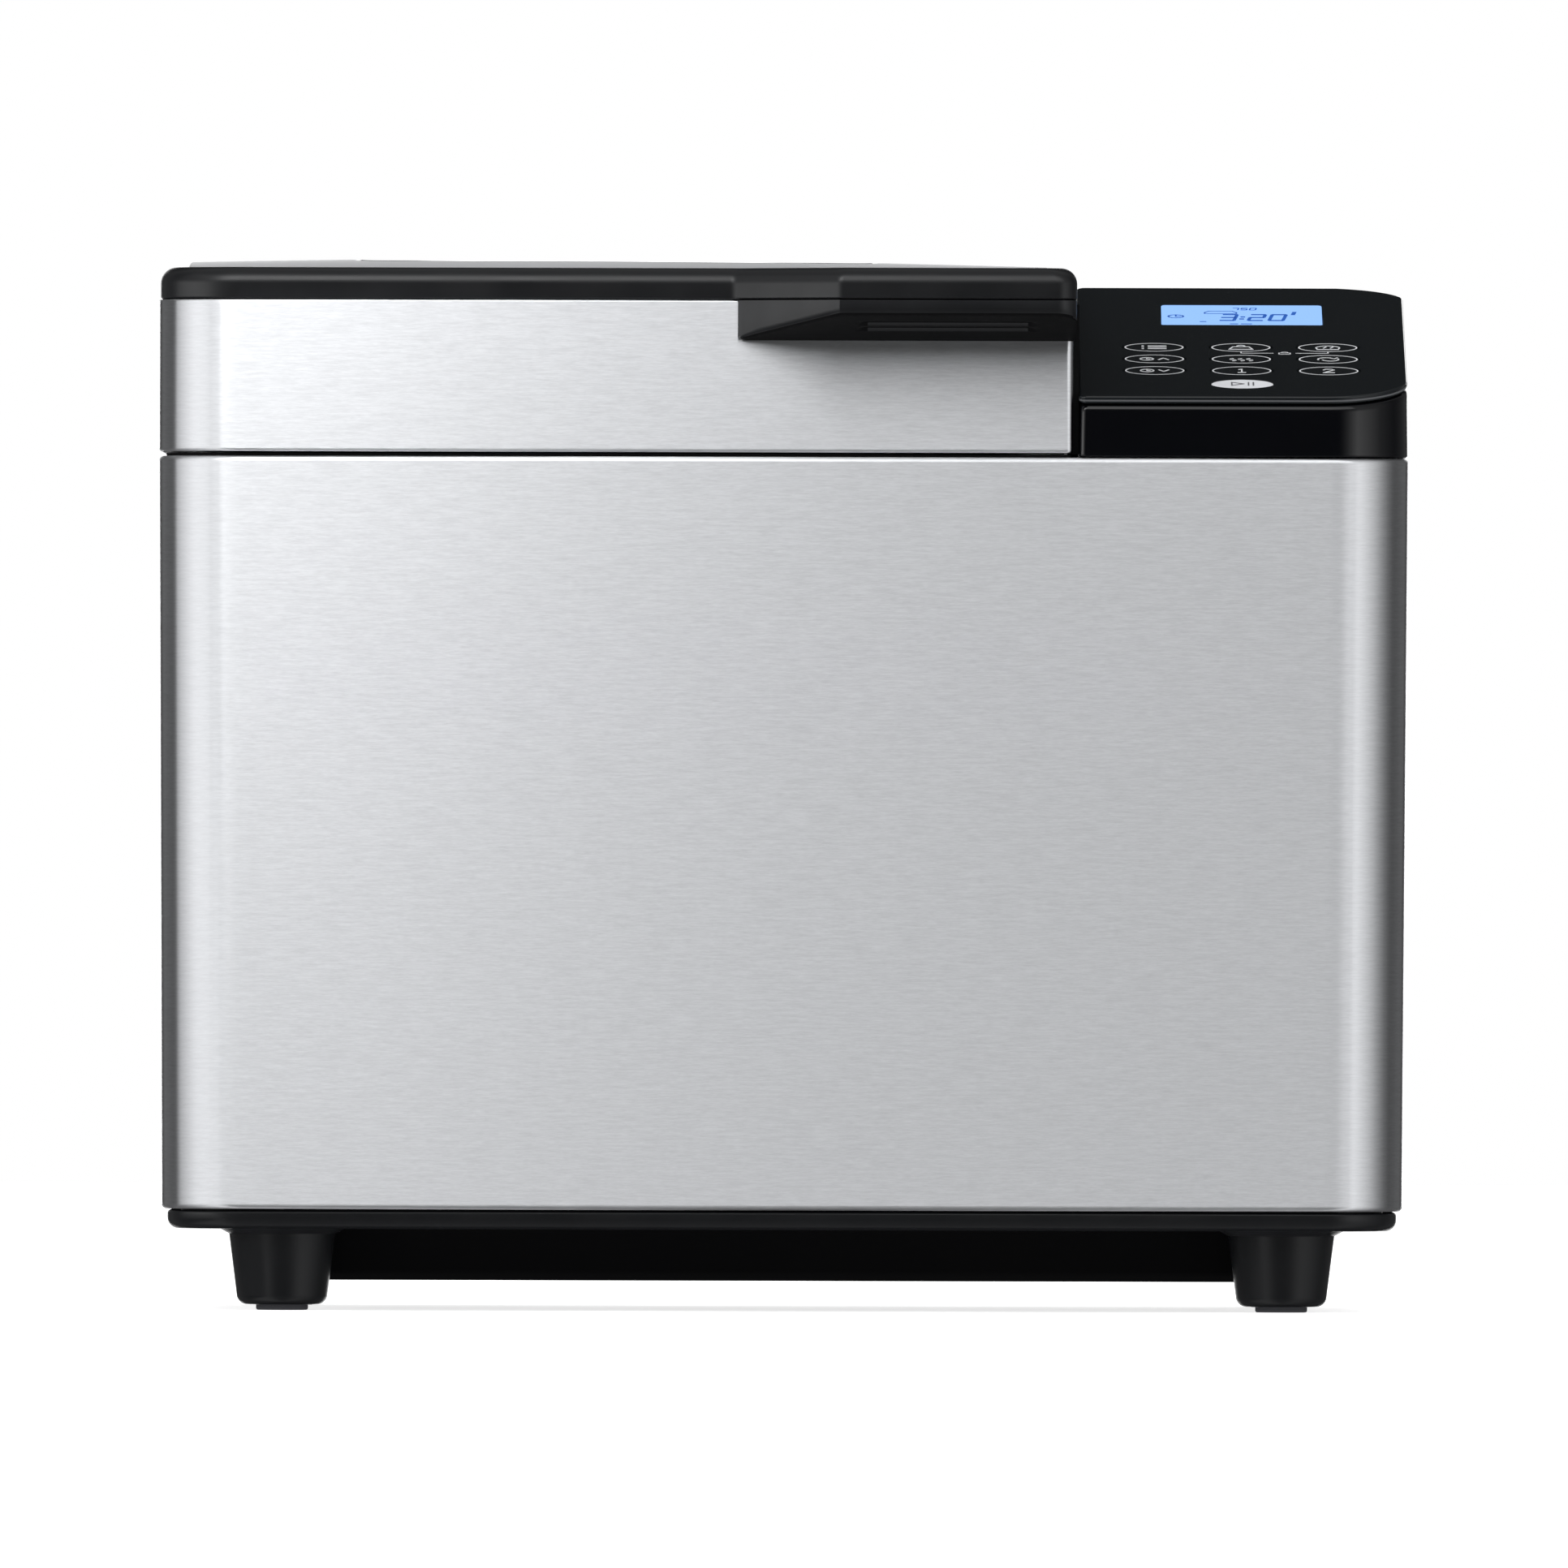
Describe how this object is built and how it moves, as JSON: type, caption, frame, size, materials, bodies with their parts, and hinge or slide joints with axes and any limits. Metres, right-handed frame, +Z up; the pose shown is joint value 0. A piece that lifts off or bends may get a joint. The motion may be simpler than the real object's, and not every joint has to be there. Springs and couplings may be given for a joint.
{
  "type": "bread machine",
  "caption": "Countertop bread machine: brushed steel housing on feet, hinged windowed lid with front grip, sloping key panel with display, oven chamber, bread pan and belt-driven paddle.",
  "frame": {"origin": "centre of the bounding box in plan, on the surface that the foot pads stand on", "axes": "+Z up, +X to the user's right along the width, +Y towards the back; the front faces -Y"},
  "size_m": [0.36, 0.268, 0.3037],
  "materials": {
    "brushed_steel": "horizontally brushed, satin",
    "bright_steel": "smooth drawn",
    "zinc_steel": "dull aluminised sheet",
    "dark_steel": "satin black coated",
    "black_plastic": "satin, finely textured",
    "gloss_black": "high gloss",
    "key_white": "satin light grey",
    "display": "back-lit blue display",
    "rubber": "matte",
    "smoked_glass": "smoked, clear gloss",
    "non_stick": "speckled non-stick coating",
    "cast_aluminium": "as cast, satin",
    "motor_core": "laminated, varnished",
    "circuit_board": "solder mask",
    "nylon": "moulded, off-white"
  },
  "bodies": {
    "root": {"housing_shell": "brushed_steel", "hinge_rod": "bright_steel", "temperature_probe": "bright_steel", "oven_chamber": "zinc_steel", "chassis_plate": "zinc_steel", "back_panel": "dark_steel", "hinge_bracket_left": "dark_steel", "hinge_bracket_right": "dark_steel", "heating_element": "dark_steel", "base_tray": "black_plastic", "bottom_cover": "black_plastic", "top_deck": "black_plastic", "foot_front_left": "black_plastic", "foot_front_right": "black_plastic", "foot_back_left": "black_plastic", "foot_back_right": "black_plastic", "control_housing": "gloss_black", "control_panel": "gloss_black", "lcd_display": "display", "foot_pad_front_left": "rubber", "foot_pad_front_right": "rubber", "foot_pad_back_left": "rubber", "foot_pad_back_right": "rubber", "cord_gland": "rubber", "drive_belt": "rubber", "bread_pan": "non_stick", "pan_socket": "cast_aluminium", "pan_base": "cast_aluminium", "shaft_bearing": "cast_aluminium", "motor_stator": "motor_core", "control_board": "circuit_board", "power_board": "circuit_board"},
    "lid": {"lid_band": "brushed_steel", "lid_rim": "black_plastic", "lid_top_plate": "brushed_steel", "window_seal": "rubber", "lid_window": "smoked_glass", "lid_liner": "black_plastic", "lid_handle": "black_plastic", "hinge_arm_left": "dark_steel", "hinge_arm_right": "dark_steel"},
    "pan_handle": {"pan_handle": "bright_steel"},
    "kneading_drive": {"drive_shaft": "bright_steel", "large_pulley": "nylon", "drive_coupling": "cast_aluminium", "paddle_shaft": "bright_steel", "kneading_paddle": "non_stick"},
    "motor": {"motor_rotor": "bright_steel", "motor_pulley": "nylon", "motor_fan": "nylon"},
    "key_menu": {"key_menu": "gloss_black"},
    "key_weight": {"key_weight": "gloss_black"},
    "key_crust": {"key_crust": "gloss_black"},
    "key_time_up": {"key_time_up": "gloss_black"},
    "key_bake": {"key_bake": "gloss_black"},
    "key_mix": {"key_mix": "gloss_black"},
    "key_time_down": {"key_time_down": "gloss_black"},
    "key_program_one": {"key_program_one": "gloss_black"},
    "key_program_two": {"key_program_two": "gloss_black"},
    "key_start": {"key_start": "key_white"}
  },
  "joints": [
    {"name": "lid_hinge", "type": "hinge", "parent": "root", "child": "lid", "pos_m": [0, 0.125, 0.255], "axis": [-1, 0, 0], "range_deg": [0, 85]},
    {"name": "pan_handle_swing", "type": "hinge", "parent": "root", "child": "pan_handle", "pos_m": [-0.0485, 0.01, 0.236], "axis": [-1, 0, 0], "range_deg": [0, 180]},
    {"name": "paddle_spin", "type": "hinge", "parent": "root", "child": "kneading_drive", "pos_m": [-0.0485, 0.01, 0.08], "axis": [0, 0, 1], "continuous": true},
    {"name": "motor_spin", "type": "hinge", "parent": "root", "child": "motor", "pos_m": [0.128, 0.01, 0.08], "axis": [0, 0, 1], "continuous": true},
    {"name": "key_menu_press", "type": "slide", "parent": "root", "child": "key_menu", "axis": [0, 0.2113, -0.9774], "range_m": [0, 0.0005], "stiffness_N_per_m": 600, "springref_m": -0.0005},
    {"name": "key_weight_press", "type": "slide", "parent": "root", "child": "key_weight", "axis": [0, 0.2113, -0.9774], "range_m": [0, 0.0005], "stiffness_N_per_m": 600, "springref_m": -0.0005},
    {"name": "key_crust_press", "type": "slide", "parent": "root", "child": "key_crust", "axis": [0, 0.2113, -0.9774], "range_m": [0, 0.0005], "stiffness_N_per_m": 600, "springref_m": -0.0005},
    {"name": "key_time_up_press", "type": "slide", "parent": "root", "child": "key_time_up", "axis": [0, 0.2113, -0.9774], "range_m": [0, 0.0005], "stiffness_N_per_m": 600, "springref_m": -0.0005},
    {"name": "key_bake_press", "type": "slide", "parent": "root", "child": "key_bake", "axis": [0, 0.2113, -0.9774], "range_m": [0, 0.0005], "stiffness_N_per_m": 600, "springref_m": -0.0005},
    {"name": "key_mix_press", "type": "slide", "parent": "root", "child": "key_mix", "axis": [0, 0.2113, -0.9774], "range_m": [0, 0.0005], "stiffness_N_per_m": 600, "springref_m": -0.0005},
    {"name": "key_time_down_press", "type": "slide", "parent": "root", "child": "key_time_down", "axis": [0, 0.2113, -0.9774], "range_m": [0, 0.0005], "stiffness_N_per_m": 600, "springref_m": -0.0005},
    {"name": "key_program_one_press", "type": "slide", "parent": "root", "child": "key_program_one", "axis": [0, 0.2113, -0.9774], "range_m": [0, 0.0005], "stiffness_N_per_m": 600, "springref_m": -0.0005},
    {"name": "key_program_two_press", "type": "slide", "parent": "root", "child": "key_program_two", "axis": [0, 0.2113, -0.9774], "range_m": [0, 0.0005], "stiffness_N_per_m": 600, "springref_m": -0.0005},
    {"name": "key_start_press", "type": "slide", "parent": "root", "child": "key_start", "axis": [0, 0.2113, -0.9774], "range_m": [0, 0.0005], "stiffness_N_per_m": 600, "springref_m": -0.0005}
  ],
  "couplings": [
    {"joint": "motor_spin", "follows": "paddle_spin", "ratio": 5}
  ]
}
